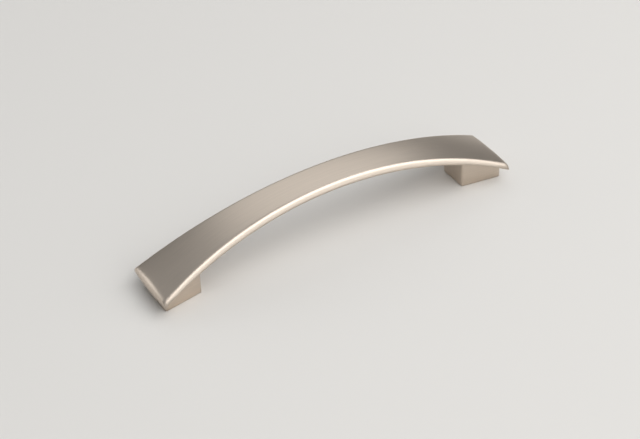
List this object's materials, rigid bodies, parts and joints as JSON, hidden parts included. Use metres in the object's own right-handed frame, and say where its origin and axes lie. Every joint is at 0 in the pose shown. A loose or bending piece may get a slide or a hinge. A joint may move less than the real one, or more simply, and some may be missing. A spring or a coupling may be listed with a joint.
{
  "type": "bow handle",
  "caption": "Bow handle for a cabinet door or drawer: a crowned satin-nickel strap, bowed along its length and waisted in plan, on feet tapped for screws from behind.",
  "frame": {"origin": "on the mounting face midway between the two screw holes, under the middle of the bow", "axes": "+X along the handle, +Z away from the face that it is screwed to, +Y across the strap"},
  "size_m": [0.1476, 0.0264, 0.0257],
  "materials": {
    "satin_nickel": "satin nickel plate on a zinc die casting, finely brushed along its length, warm grey"
  },
  "bodies": {
    "root": {"handle": "satin_nickel"}
  },
  "joints": []
}
